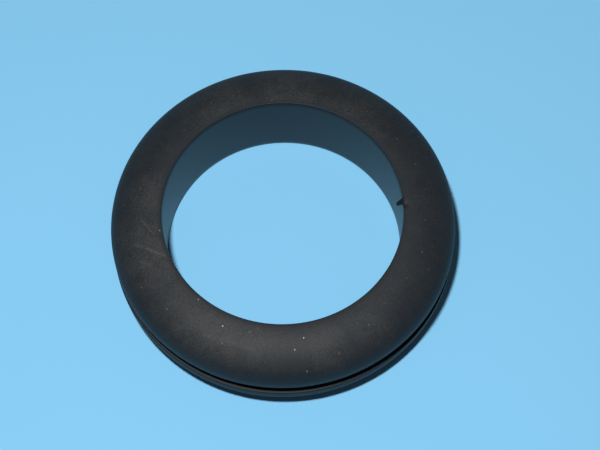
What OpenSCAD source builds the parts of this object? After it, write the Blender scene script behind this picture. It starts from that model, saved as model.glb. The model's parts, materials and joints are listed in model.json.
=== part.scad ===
// Panel grommet: one moulded rubber ring that lines a round hole in a sheet
// panel, so that the cables led through it are held off the cut edge.
// Two equal domed flanges stand on either side of a narrow groove. The panel's
// edge sits in the groove, and the cables pass through the bore.
// Millimetres. The ring's axis is Z, and its lower face lies on z = 0.

/* [Ring] */
// Diameter over the two flanges
outer_d = 55.2; // [52:0.1:80]
// Height from the lower face to the upper face
height = 14.4; // [12:0.1:18]

/* [Bore] */
// Diameter of the hole that the cables pass through
bore_d = 38.1; // [30:0.1:41]
// Radius that rounds the rim at each end of the bore
rim_r = 0.5; // [0.2:0.1:1.2]

/* [Groove] */
// Diameter of the groove's floor, which is also the diameter of the panel's hole
groove_d = 44.4; // [42:0.1:48]
// Width of the groove between the flanges, for the thickness of the panel
groove_w = 2.4; // [1.6:0.1:4]

/* [Flange] */
// Width of the flat ring beside the rim, on which the grommet rests
seat_w = 0.25; // [0.15:0.05:2]
// Radius of the shoulder, where the dome turns down to the outer edge
shoulder_r = 3.6; // [2:0.1:4.2]
// Height of the straight outer edge, from the groove's mouth to the shoulder
edge_h = 1.0; // [0.5:0.1:1.6]
// Radius that rounds the outer edge's corner at the groove's mouth
corner_r = 0.2; // [0.1:0.05:0.4]

/* [Hidden] */
$fn = 180;

// Radii of the ring's walls
outer_r = outer_d / 2;
bore_r = bore_d / 2;
groove_r = groove_d / 2;

// Heights over the ring's middle plane
face_z = height / 2;
mouth_z = groove_w / 2;
edge_z = mouth_z + edge_h;

// The dome runs outwards from the seat and falls to the outer edge
dome_start = bore_r + rim_r + seat_w;
dome_run = outer_r - dome_start;
dome_rise = face_z - edge_z;

// A dome too low for its shoulder gets a smaller one, so that a crown is left
shoulder = min(shoulder_r, 0.9 * dome_rise);
// The crown is level at the seat and runs into the shoulder without a corner
crown_r = (pow(dome_run, 2) + pow(dome_rise, 2) - 2 * dome_run * shoulder)
    / (2 * (dome_rise - shoulder));

// Centres of the section's rounds, as [radius, height]
crown_at = [dome_start, face_z - crown_r];
shoulder_at = [outer_r - shoulder, edge_z];
corner_at = [outer_r - corner_r, mouth_z + corner_r];
rim_at = [bore_r + rim_r, face_z - rim_r];
// Direction from the crown's centre to the point where it meets the shoulder
meet_angle = atan2(shoulder_at.y - crown_at.y, shoulder_at.x - crown_at.x);

// A sector of a disc between two directions less than 180 degrees apart
module pie(centre, radius, from, to) {
    reach = 2 * radius;
    translate(centre) intersection() {
        circle(r = radius);
        polygon([
            [0, 0],
            reach * [cos(from), sin(from)],
            reach * [cos((from + to) / 2), sin((from + to) / 2)],
            reach * [cos(to), sin(to)]
        ]);
    }
}

// The wall between the bore and the groove's floor, up to the round of each rim
module web_section() {
    translate([bore_r, -rim_at.y]) square([groove_r - bore_r, 2 * rim_at.y]);
}

// The domed part of a flange's section: a wide crown, then a tighter shoulder.
// Only the part of the crown's sector that lies over the groove's mouth is kept.
module dome_section() {
    intersection() {
        pie(crown_at, crown_r, meet_angle, 90);
        translate([0, mouth_z]) square(outer_d);
    }
    pie(shoulder_at, shoulder, 0, meet_angle);
}

// The upper flange: its rim, seat, dome, outer edge and groove face
module flange_section() {
    polygon([
        [rim_at.x, mouth_z],
        [corner_at.x, mouth_z],
        corner_at,
        [outer_r, corner_at.y],
        [outer_r, edge_z],
        [dome_start, edge_z],
        [dome_start, face_z],
        [rim_at.x, face_z]
    ]);
    pie(rim_at, rim_r, 90, 180);
    pie(corner_at, corner_r, -90, 0);
    dome_section();
}

// The whole ring: the web and two mirrored flanges, turned about the axis
module grommet() {
    color("#333539") translate([0, 0, face_z]) rotate_extrude() {
        web_section();
        flange_section();
        mirror([0, 1]) flange_section();
    }
}

grommet();
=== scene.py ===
import json
import math

import bmesh
import bpy
from mathutils import Matrix, Vector


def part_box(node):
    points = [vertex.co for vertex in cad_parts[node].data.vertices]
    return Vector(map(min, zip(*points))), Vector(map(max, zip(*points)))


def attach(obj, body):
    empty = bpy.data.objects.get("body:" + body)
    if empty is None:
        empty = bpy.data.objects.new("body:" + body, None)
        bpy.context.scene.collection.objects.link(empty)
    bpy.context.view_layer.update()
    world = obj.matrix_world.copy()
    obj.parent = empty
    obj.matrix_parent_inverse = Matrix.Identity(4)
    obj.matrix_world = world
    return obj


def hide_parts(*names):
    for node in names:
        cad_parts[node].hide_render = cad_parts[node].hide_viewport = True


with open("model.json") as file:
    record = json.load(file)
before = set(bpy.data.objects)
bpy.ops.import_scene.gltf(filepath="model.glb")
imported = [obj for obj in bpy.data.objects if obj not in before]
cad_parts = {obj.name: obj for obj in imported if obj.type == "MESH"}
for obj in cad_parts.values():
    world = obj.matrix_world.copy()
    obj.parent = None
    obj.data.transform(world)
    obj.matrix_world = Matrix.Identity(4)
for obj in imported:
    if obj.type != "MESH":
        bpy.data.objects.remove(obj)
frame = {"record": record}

# A panel grommet: one moulded ring of black rubber. Half its section is drawn as a wire from the
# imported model's own sizes, mirrored and spun about the ring's axis. What the mould left on it, a
# torn nib and a nick, is shaped out of the spun skin after that.

MM = 0.001
QUARTER = math.pi / 2
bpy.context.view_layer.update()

# ---------------------------------------------------------------- sizes of the ring

low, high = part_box("grommet")
mounts = {mount["name"]: mount["dims"] for mount in frame["record"]["mounts"]}

OUTER_R = high.x
HEIGHT = high.z - low.z
FACE = HEIGHT / 2                                  # half height, from the middle plane
BORE_R = mounts["cable_bore"]["r_mm"] * MM
GROOVE_R = mounts["panel_groove"]["r_mm"] * MM
GROOVE_HALF = mounts["panel_groove"]["length_mm"] * MM / 2

SEAT_END = 0.75 * MM                               # from the bore to where the dome starts
FLARE_R = 3 * MM                                   # slow round that opens the end of the bore
FLARE_TURN = math.radians(18)                      # how far it turns before the tight round
RIM_R = 0.12 * MM                                  # tight round from the flare to the flat seat
SHOULDER_R = 3.6 * MM                              # round that turns the dome down to the edge
EDGE_H = 1 * MM                                    # straight outer edge, its corner included
CORNER_R = 0.2 * MM                                # round at the groove's mouth

DOME_START = BORE_R + SEAT_END
DOME_RUN = OUTER_R - DOME_START
EDGE_Z = GROOVE_HALF + EDGE_H
DOME_RISE = FACE - EDGE_Z
CROWN_R = (DOME_RUN ** 2 + DOME_RISE ** 2 - 2 * DOME_RUN * SHOULDER_R) / (2 * (DOME_RISE - SHOULDER_R))
CROWN_TURN = math.atan2(OUTER_R - SHOULDER_R - DOME_START, CROWN_R - DOME_RISE)
RIM_TURN = QUARTER - FLARE_TURN
RIM_RISE = RIM_R * (1 - math.cos(RIM_TURN))
FLARE_START = FACE - RIM_RISE - FLARE_R * math.sin(FLARE_TURN)
RIM_CENTRE = BORE_R + FLARE_R - (FLARE_R - RIM_R) * math.cos(FLARE_TURN)

SPIN_STEPS = 400                                   # facets round the ring
MERGE = 0.001 * MM                                 # verts nearer to each other than this are one


# ---------------------------------------------------------------- modelling helpers

def deselect_all():
    """Nothing stays selected or in edit mode, so the next operator acts on its own piece only."""
    if bpy.context.object and bpy.context.object.mode != "OBJECT":
        bpy.ops.object.mode_set(mode="OBJECT")
    bpy.ops.object.select_all(action="DESELECT")


def pick(elements, test):
    """In edit mode, selects the verts or faces whose middle passes the test."""
    mesh = bmesh.from_edit_mesh(bpy.context.object.data)
    bpy.ops.mesh.select_all(action="DESELECT")
    for element in getattr(mesh, elements):
        middle = element.co if elements == "verts" else element.calc_center_median()
        if test(middle):
            element.select_set(True)
    bmesh.update_edit_mesh(bpy.context.object.data)


def picked_middle():
    """The mean place of the selected verts."""
    mesh = bmesh.from_edit_mesh(bpy.context.object.data)
    places = [vert.co for vert in mesh.verts if vert.select]
    return sum(places, Vector()) / len(places)


def bearing_of(place):
    """Degrees round the ring from the X axis."""
    return math.degrees(math.atan2(place.y, place.x))


def on_ring(bearing, radius, height=0):
    """A place from its bearing in degrees, its radius and its height in millimetres."""
    turn = math.radians(bearing)
    return Vector((radius * math.cos(turn), radius * math.sin(turn), height)) * MM


def run_to(out, up, cuts=1):
    """Draws a straight run of the section from the selected end, in equal cuts."""
    for _ in range(cuts):
        step = {"value": (out / cuts, 0, up / cuts)}
        bpy.ops.mesh.extrude_region_move(TRANSFORM_OT_translate=step)


def turn_about(out, up, angle, cuts):
    """Draws an arc of the section from the selected end, about a centre at (radius, height)."""
    bpy.ops.mesh.spin(steps=cuts, angle=-angle, center=(out, 0, up), axis=(0, 1, 0))


# ---------------------------------------------------------------- the ring

def draw_section():
    """The wire of the upper half of the section, from the bore's middle to the groove's middle."""
    deselect_all()
    bpy.ops.mesh.primitive_plane_add(size=MM, location=(BORE_R, 0, 0))
    ring = bpy.context.object
    ring.name = "grommet_ring"
    bpy.ops.object.transform_apply(location=True)
    bpy.ops.object.mode_set(mode="EDIT")
    bpy.ops.mesh.select_all(action="SELECT")
    bpy.ops.mesh.merge(type="CENTER")
    run_to(0, FLARE_START, 10)
    turn_about(BORE_R + FLARE_R, FLARE_START, FLARE_TURN, 5)
    turn_about(RIM_CENTRE, FACE - RIM_R, RIM_TURN, 4)
    run_to(DOME_START - RIM_CENTRE, 0)
    turn_about(DOME_START, FACE - CROWN_R, CROWN_TURN, 24)
    turn_about(OUTER_R - SHOULDER_R, EDGE_Z, QUARTER - CROWN_TURN, 16)
    run_to(0, CORNER_R - EDGE_H, 2)
    turn_about(OUTER_R - CORNER_R, GROOVE_HALF + CORNER_R, QUARTER, 4)
    run_to(GROOVE_R - OUTER_R + CORNER_R, 0, 6)
    run_to(0, -GROOVE_HALF, 2)
    bpy.ops.object.mode_set(mode="OBJECT")
    return ring


def make_ring():
    """The section mirrored about the groove and spun into the ring, standing on its lower face."""
    ring = draw_section()
    bpy.ops.object.modifier_add(type="MIRROR")
    mirror = ring.modifiers[-1]
    mirror.use_axis = (False, False, True)
    mirror.merge_threshold = MERGE
    bpy.ops.object.modifier_apply(modifier=mirror.name)
    bpy.ops.object.mode_set(mode="EDIT")
    bpy.ops.mesh.select_all(action="SELECT")
    bpy.ops.mesh.spin(steps=SPIN_STEPS, angle=2 * math.pi, center=(0, 0, 0), axis=(0, 0, 1))
    bpy.ops.mesh.select_all(action="SELECT")
    bpy.ops.mesh.remove_doubles(threshold=MERGE)
    bpy.ops.mesh.normals_make_consistent(inside=False)
    bpy.ops.transform.translate(value=(0, 0, low.z + FACE))
    bpy.ops.object.mode_set(mode="OBJECT")
    return ring


WAVE_SIZE = 9 * MM                                 # the soft hollows in the moulded skin
WAVE_DEPTH = 0.03 * MM                             # the most that they sink in


def sink_skin(ring):
    """Moulded rubber is never quite true: its skin has broad hollows, too shallow to see as such."""
    texture = bpy.data.textures.new("soft_waves", type="CLOUDS")
    texture.noise_scale = WAVE_SIZE
    texture.noise_depth = 1
    bpy.ops.object.modifier_add(type="DISPLACE")
    sink = ring.modifiers[-1]
    sink.texture = texture
    sink.texture_coords = "LOCAL"
    sink.mid_level = 1
    sink.strength = WAVE_DEPTH
    bpy.ops.object.modifier_apply(modifier=sink.name)


NIB_BEARING = 3                                    # where the torn nib hangs, in degrees
NIB_HALF_TURN = 1.4                                # half its width, in degrees round the rim
NIB_ROOT = 0.85 * MM                               # how far below the ring's top its root reaches
NIB_FLATTEN = 0.6                                  # what is left of the end's slant after each pull
# Each pull of the nib: inwards and down in millimetres, then what is left of its width and depth
NIB_PULLS = [
    (0.25, 0.35, 0.9, 0.8), (0.3, 0.4, 0.9, 0.7), (0.3, 0.3, 0.85, 0.7), (0.15, 0.15, 0.6, 0.5),
]


def pull_nib():
    """A torn nib of flash on the upper rim, pulled out of the rim's own faces into the bore."""
    bpy.ops.object.mode_set(mode="EDIT")
    bpy.ops.mesh.select_mode(type="FACE")

    def at_root(place):
        beside = abs(bearing_of(place) - NIB_BEARING) < NIB_HALF_TURN
        radius = math.hypot(place.x, place.y)
        return beside and radius < RIM_CENTRE and place.z > low.z + HEIGHT - NIB_ROOT

    pick("faces", at_root)
    inward = -on_ring(NIB_BEARING, 1)
    for pull, drop, width, depth in NIB_PULLS:
        step = inward * pull - Vector((0, 0, drop * MM))
        bpy.ops.mesh.extrude_region_move(TRANSFORM_OT_translate={"value": step})
        middle = picked_middle()
        bpy.ops.transform.resize(value=(NIB_FLATTEN, width, depth), center_override=middle)
    bpy.ops.object.mode_set(mode="OBJECT")


NICK_AT = on_ring(1.2, 19.5, 14.35)                # on the rim, beside the nib
NICK_REACH = 0.7 * MM
NICK_CORE = 0.35                                   # the share of its reach that sinks all the way
NICK_PUSH = Vector((0.12, 0, -0.25)) * MM


def press_nick():
    """A small nick in the rim, which fades out over its reach."""
    bpy.ops.object.mode_set(mode="EDIT")
    bpy.ops.mesh.select_mode(type="VERT")
    pick("verts", lambda vert: (vert - NICK_AT).length < NICK_REACH * NICK_CORE)
    bpy.ops.transform.translate(
        value=NICK_PUSH, use_proportional_edit=True,
        proportional_edit_falloff="SMOOTH", proportional_size=NICK_REACH,
    )
    bpy.ops.object.mode_set(mode="OBJECT")


# ---------------------------------------------------------------- materials

def linear(hex_colour):
    """An sRGB hex colour as linear RGBA."""
    parts = [int(hex_colour[i:i + 2], 16) / 255 for i in (1, 3, 5)]
    return [c / 12.92 if c <= 0.04045 else ((c + 0.055) / 1.055) ** 2.4 for c in parts] + [1]


def add_node(tree, kind, settings=None, **inputs):
    """Adds a node with its settings. An input is named, or _ and its number, and takes a value,
    a socket, or a node, which gives its first live output."""
    node = tree.nodes.new("ShaderNode" + kind)
    for name, value in (settings or {}).items():
        setattr(node, name, value)
    for name, value in inputs.items():
        socket = node.inputs[int(name[1:]) if name[0] == "_" else name.replace("_", " ")]
        if isinstance(value, bpy.types.Node):
            value = next(output for output in value.outputs if output.enabled)
        if isinstance(value, bpy.types.NodeSocket):
            tree.links.new(value, socket)
        else:
            socket.default_value = value
    return node


def new_material(name):
    """An empty node material and its node tree."""
    material = bpy.data.materials.new(name)
    material.use_nodes = True
    material.node_tree.nodes.clear()
    return material, material.node_tree


def per_mm(size):
    """The scale at which a texture's features are this many millimetres across."""
    return 1 / (size * MM)


SMOOTH = {"interpolation_type": "SMOOTHSTEP"}

# near-black rubber; its blue tint is painted light, the blue cast that the card around it throws back
RUBBER_WITH_BLUE_CAST = "#181F25"
DUST = "#494745"
PALE_DUST = "#B0B0AE"                              # the grains, specks and scuffs

DUST_FILM = 0.2                                    # how much dust lies away from the patches
# Where dust lies thickest, in patches that are also painted light, lightening the dome to the left
# front and at the back as if more light fell there: bearing in degrees, radius and reach in
# millimetres, strength
DUST_AND_LIGHT_PATCHES = [
    (240, 23, 22, 0.5), (195, 22, 15, 0.5), (170, 21, 9, 0.5),
    (55, 20, 16, 0.4), (85, 22, 13, 0.5), (115, 21, 14, 0.45),
    (284, 24.8, 9, 0.45), (303, 24.8, 9, 0.38),
]
# Single pale grains of dust: bearing in degrees, radius in millimetres, strength
GRAINS = [
    (276.5, 21.7, 1.0), (242.5, 21.5, 1.0), (272.5, 23.3, 0.7), (276, 26.4, 0.4),
    (187.5, 19.6, 0.4), (227, 19.9, 0.5), (288, 25.1, 0.2), (220, 24.2, 0.2), (167, 23, 0.15),
    (21, 25.2, 0.12), (19, 22.8, 0.12), (254, 21.1, 0.2), (245, 23.9, 0.2), (93, 19.8, 0.1),
]
GRAIN_R = 0.16 * MM
# Light scuffs: bearing and radius of either end, half width in millimetres, strength
SCUFFS = [
    (181, 22.4, 185.5, 21.3, 0.25, 0.04), (185.5, 21.3, 188.5, 20.7, 0.25, 0.03),
    (191, 23.8, 195, 21.9, 0.6, 0.03), (194, 22.3, 198, 20.8, 0.3, 0.07),
    (197, 21.2, 200, 20, 0.45, 0.05), (198.5, 23.7, 202, 22.4, 0.3, 0.03),
    (238, 23.8, 257, 23.6, 0.6, 0.02),
]


MOTTLE = 2.4                                       # feature sizes, in millimetres
SPECKLE = 0.3
SPECK_CELL = 0.9
MOULD_RINGS = 0.5
BLASTED_PITS = 0.25
STREAKS_ROUND = 45                                 # how finely the streaks divide the ring


def dust_and_light_patches(tree, flat):
    """How thickly dust lies: a thin film all over, thicker in broad soft patches. The patches are also
    painted light: they lighten the dome where more light would fall.
    """
    cover = DUST_FILM
    for bearing, radius, reach, strength in DUST_AND_LIGHT_PATCHES:
        away = add_node(
            tree, "VectorMath", {"operation": "DISTANCE"},
            _0=flat, _1=on_ring(bearing, radius),
        )
        patch = add_node(
            tree, "MapRange", SMOOTH,
            Value=away, From_Min=reach * MM, From_Max=0, To_Max=strength,
        )
        cover = add_node(tree, "Math", {"operation": "MAXIMUM"}, _0=cover, _1=patch)
    return cover


def dust_bloom(tree, here, flat):
    """The bloom's own unevenness: mottling, fine speckle, and streaks that run outwards."""
    mottle = add_node(tree, "TexNoise", Vector=here, Scale=per_mm(MOTTLE), Detail=6, Roughness=0.65)
    mottle = add_node(tree, "MapRange", Value=mottle, From_Min=0.3, From_Max=0.72, To_Max=0.6)
    speckle = add_node(tree, "TexNoise", Vector=here, Scale=per_mm(SPECKLE), Detail=1, Roughness=0.6)
    speckle = add_node(tree, "MapRange", Value=speckle, From_Min=0.35, From_Max=0.75, To_Max=0.65)
    around = add_node(tree, "VectorMath", {"operation": "NORMALIZE"}, _0=flat)
    streaks = add_node(tree, "TexNoise", Vector=around, Scale=STREAKS_ROUND, Detail=3, Roughness=0.6)
    streaks = add_node(tree, "MapRange", Value=streaks, From_Min=0.4, From_Max=0.7, To_Max=0.2)
    bloom = add_node(tree, "Math", {"operation": "ADD"}, _0=mottle, _1=speckle)
    return add_node(tree, "Math", {"operation": "ADD"}, _0=bloom, _1=streaks)


def pale_grains(tree, flat):
    """The few grains that show one by one."""
    grains = 0
    for bearing, radius, bright in GRAINS:
        away = add_node(
            tree, "VectorMath", {"operation": "DISTANCE"},
            _0=flat, _1=on_ring(bearing, radius),
        )
        grain = add_node(
            tree, "MapRange", SMOOTH,
            Value=away, From_Min=GRAIN_R, From_Max=0.3 * GRAIN_R, To_Max=bright,
        )
        grains = add_node(tree, "Math", {"operation": "MAXIMUM"}, _0=grains, _1=grain)
    return grains


def fine_specks(tree, here):
    """Smaller specks at random, one in the odd cell of about a millimetre."""
    cells = add_node(tree, "TexVoronoi", Vector=here, Scale=per_mm(SPECK_CELL))
    dot = add_node(
        tree, "MapRange", SMOOTH,
        Value=cells.outputs["Distance"], From_Min=0.16, From_Max=0.05,
    )
    lot = add_node(tree, "SeparateColor", Color=cells.outputs["Color"])
    chosen = add_node(tree, "MapRange", Value=lot, From_Min=0.85, From_Max=1, To_Max=0.25)
    return add_node(tree, "Math", {"operation": "MULTIPLY"}, _0=dot, _1=chosen)


def light_scuffs(tree, flat):
    """Soft pale lines where something rubbed across the dome."""
    scuffs = 0
    for from_bearing, from_r, to_bearing, to_r, half_width, strength in SCUFFS:
        start = on_ring(from_bearing, from_r)
        end = on_ring(to_bearing, to_r)
        along = end - start
        turned = add_node(
            tree, "Mapping", {"vector_type": "TEXTURE"},
            Vector=flat, Location=(start + end) / 2, Rotation=(0, 0, math.atan2(along.y, along.x)),
        )
        length = along.length / 2
        nearest = add_node(
            tree, "VectorMath", {"operation": "MAXIMUM"},
            _0=add_node(tree, "VectorMath", {"operation": "MINIMUM"}, _0=turned, _1=(length, 0, 0)),
            _1=(-length, 0, 0),
        )
        away = add_node(tree, "VectorMath", {"operation": "DISTANCE"}, _0=turned, _1=nearest)
        line = add_node(
            tree, "MapRange", SMOOTH,
            Value=away, From_Min=half_width * MM, From_Max=0, To_Max=strength,
        )
        scuffs = add_node(tree, "Math", {"operation": "MAXIMUM"}, _0=scuffs, _1=line)
    return scuffs


def moulded_skin(tree, here, radius, height):
    """The skin's bumps: the fine grain of the blasted mould, over faint rings from turning it."""
    rings_at = add_node(tree, "CombineXYZ", X=radius, Y=height)
    rings = add_node(tree, "TexNoise", Vector=rings_at, Scale=per_mm(MOULD_RINGS), Detail=2)
    skin = add_node(tree, "Bump", Strength=0.5, Distance=0.012 * MM, Height=rings)
    pits = add_node(
        tree, "TexNoise",
        Vector=here, Scale=per_mm(BLASTED_PITS), Detail=2, Roughness=0.6,
    )
    return add_node(tree, "Bump", Strength=0.8, Distance=0.03 * MM, Height=pits, Normal=skin)


DUST_FADE = 0.8 * MM                               # dust has its full cover this far below the top
DUST_CLEAR_OF_BORE = 1.2 * MM                              # and thins out this near the bore, so the seat by the bore is left darker
DOME_ROUGHNESS = 0.58
BORE_TOP_ROUGHNESS = 0.46
BORE_FOOT_ROUGHNESS = 0.35
# The bore's polish fades out between these two distances from its wall
POLISH_FADE = (0.1 * MM, 0.4 * MM)


def moulded_rubber():
    """Black synthetic rubber, pressed in a turned steel mould: a wide dull highlight on the blasted
    dome, a little more shine down the polished bore, and a thin grey bloom of dust on top, with
    patches that are also painted light."""
    material, tree = new_material("moulded_black_rubber")
    here = add_node(tree, "TexCoord").outputs["Object"]
    height = add_node(tree, "SeparateXYZ", Vector=here).outputs["Z"]
    flat = add_node(tree, "VectorMath", {"operation": "MULTIPLY"}, _0=here, _1=(1, 1, 0))
    radius = add_node(tree, "VectorMath", {"operation": "LENGTH"}, _0=flat)

    top = add_node(
        tree, "MapRange", SMOOTH,
        Value=height, From_Min=low.z + EDGE_Z + FACE, From_Max=low.z + HEIGHT - DUST_FADE,
    )
    # dust thins out towards the bore, which leaves the seat by the bore darker
    clear_of_bore = add_node(
        tree, "MapRange", SMOOTH,
        Value=radius, From_Min=BORE_R, From_Max=BORE_R + DUST_CLEAR_OF_BORE,
    )
    dusty = add_node(tree, "Math", {"operation": "MULTIPLY"}, _0=top, _1=clear_of_bore)
    # the dust patches are also painted light: the dome is lighter in them, as where more light falls
    cover = add_node(tree, "Math", {"operation": "MULTIPLY"}, _0=dust_and_light_patches(tree, flat), _1=dusty)
    dust_and_light = add_node(
        tree, "Math", {"operation": "MULTIPLY", "use_clamp": True},
        _0=dust_bloom(tree, here, flat), _1=cover,
    )
    marks = add_node(
        tree, "Math", {"operation": "MAXIMUM"},
        _0=pale_grains(tree, flat), _1=fine_specks(tree, here),
    )
    marks = add_node(tree, "Math", {"operation": "MAXIMUM"}, _0=marks, _1=light_scuffs(tree, flat))
    marks = add_node(tree, "Math", {"operation": "MULTIPLY"}, _0=marks, _1=top)

    colour = add_node(tree, "Mix", {"data_type": "RGBA"}, _0=dust_and_light, _6=linear(RUBBER_WITH_BLUE_CAST), _7=linear(DUST))
    colour = add_node(tree, "Mix", {"data_type": "RGBA"}, _0=marks, _6=colour, _7=linear(PALE_DUST))
    bore_roughness = add_node(
        tree, "MapRange",
        Value=height, From_Min=low.z, From_Max=low.z + HEIGHT,
        To_Min=BORE_FOOT_ROUGHNESS, To_Max=BORE_TOP_ROUGHNESS,
    )
    roughness = add_node(
        tree, "MapRange",
        Value=radius, From_Min=BORE_R + POLISH_FADE[0], From_Max=BORE_R + POLISH_FADE[1],
        To_Min=bore_roughness, To_Max=DOME_ROUGHNESS,
    )
    shader = add_node(
        tree, "BsdfPrincipled",
        Base_Color=colour, Roughness=roughness, IOR=1.5, Specular_IOR_Level=0.27,
        Normal=moulded_skin(tree, here, radius, height),
    )
    add_node(tree, "OutputMaterial", Surface=shader)
    return material


CARD = "#88CBF2"
LIT_WITHIN = 45 * MM                               # the card shows the lamp's light this far out
PLAIN_BEYOND = 160 * MM                            # from here on it shows its plain colour


def pale_card():
    """Smooth matt card, an even pale blue with no highlight. The lamp leaves it dim far from the
    ring, so there its plain colour shows instead. That is for camera, glossy and transmission rays
    only, so it casts no light."""
    material, tree = new_material("pale_blue_card")
    colour = linear(CARD)
    lit = add_node(
        tree, "BsdfPrincipled",
        Base_Color=colour, Roughness=0.9, IOR=1.45, Specular_IOR_Level=0.2,
    )
    plain = add_node(tree, "Emission", Color=colour, Strength=1)
    here = add_node(tree, "TexCoord").outputs["Object"]
    away = add_node(tree, "VectorMath", {"operation": "LENGTH"}, _0=here)
    far = add_node(tree, "MapRange", SMOOTH, Value=away, From_Min=LIT_WITHIN, From_Max=PLAIN_BEYOND)
    rays = add_node(tree, "LightPath").outputs
    seen = add_node(
        tree, "Math", {"operation": "MAXIMUM"},
        _0=rays["Is Camera Ray"], _1=rays["Is Glossy Ray"],
    )
    seen = add_node(tree, "Math", {"operation": "MAXIMUM"}, _0=seen, _1=rays["Is Transmission Ray"])
    shown = add_node(tree, "Math", {"operation": "MULTIPLY"}, _0=far, _1=seen)
    surface = add_node(tree, "MixShader", _0=shown, _1=lit, _2=plain)
    add_node(tree, "OutputMaterial", Surface=surface)
    return material


# ---------------------------------------------------------------- camera, floor and light

CAMERA_AT = Vector((0, -127.56, 291.20)) * MM
AIM_AT = Vector((2.73, 0.63, 7.2)) * MM
CAMERA_ROLL = math.radians(-1.21)
LENS = 115.68
SENSOR_WIDTH = 36

CARD_SIZE = 4                                      # metres
LAMP_AT = Vector((-33, -79, 380)) * MM
LAMP_SIZE = 25 * MM
LAMP_POWER = 1.43
ROOM_LIGHT = 0.07


def camera_axes():
    """The camera's right, up and forward directions, with its small roll."""
    forward = (AIM_AT - CAMERA_AT).normalized()
    level = forward.cross(Vector((0, 0, 1))).normalized()
    upright = level.cross(forward)
    right = level * math.cos(CAMERA_ROLL) + upright * math.sin(CAMERA_ROLL)
    up = right.cross(forward)
    return right, up, forward


def place_camera():
    """The camera looks down at the ring from in front."""
    right, up, forward = camera_axes()
    deselect_all()
    bpy.ops.object.camera_add()
    camera = bpy.context.object
    turn = Matrix((right, up, -forward)).transposed()
    camera.matrix_world = Matrix.Translation(CAMERA_AT) @ turn.to_4x4()
    camera.data.lens = LENS
    camera.data.sensor_width = SENSOR_WIDTH
    camera.data.clip_start = 0.01
    camera.data.clip_end = 20
    bpy.context.scene.camera = camera


def lay_floor():
    """A plain sheet of card, far larger than the view."""
    deselect_all()
    bpy.ops.mesh.primitive_plane_add(size=CARD_SIZE, location=(0, 0, low.z))
    floor = bpy.context.object
    floor.name = "floor"
    floor.data.materials.append(pale_card())


def hang_lamp():
    """One small round lamp, above the camera and a little to its left."""
    deselect_all()
    bpy.ops.object.light_add(type="AREA", location=LAMP_AT)
    key = bpy.context.object
    key.name = "key_lamp"
    key.data.shape = "DISK"
    key.data.size = LAMP_SIZE
    key.data.energy = LAMP_POWER
    key.rotation_mode = "QUATERNION"
    key.rotation_quaternion = (LAMP_AT - Vector((0, 0, FACE))).to_track_quat("Z", "Y")


def light_room():
    """A dim even room, so that shaded rubber is dark but not lost."""
    world = bpy.data.worlds.new("room")
    bpy.context.scene.world = world
    world.use_nodes = True
    tree = world.node_tree
    tree.nodes.clear()
    fill = add_node(tree, "Background", Color=linear("#FFFFFF"), Strength=ROOM_LIGHT)
    add_node(tree, "OutputWorld", Surface=fill)


# ---------------------------------------------------------------- the whole scene

ring = make_ring()
sink_skin(ring)
pull_nib()
press_nick()
ring.data.materials.append(moulded_rubber())
deselect_all()
ring.select_set(True)
bpy.context.view_layer.objects.active = ring
bpy.ops.object.shade_smooth_by_angle(angle=math.radians(40))
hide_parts("grommet")
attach(ring, "root")

place_camera()
lay_floor()
hang_lamp()
light_room()
bpy.context.scene.view_settings.view_transform = "Standard"
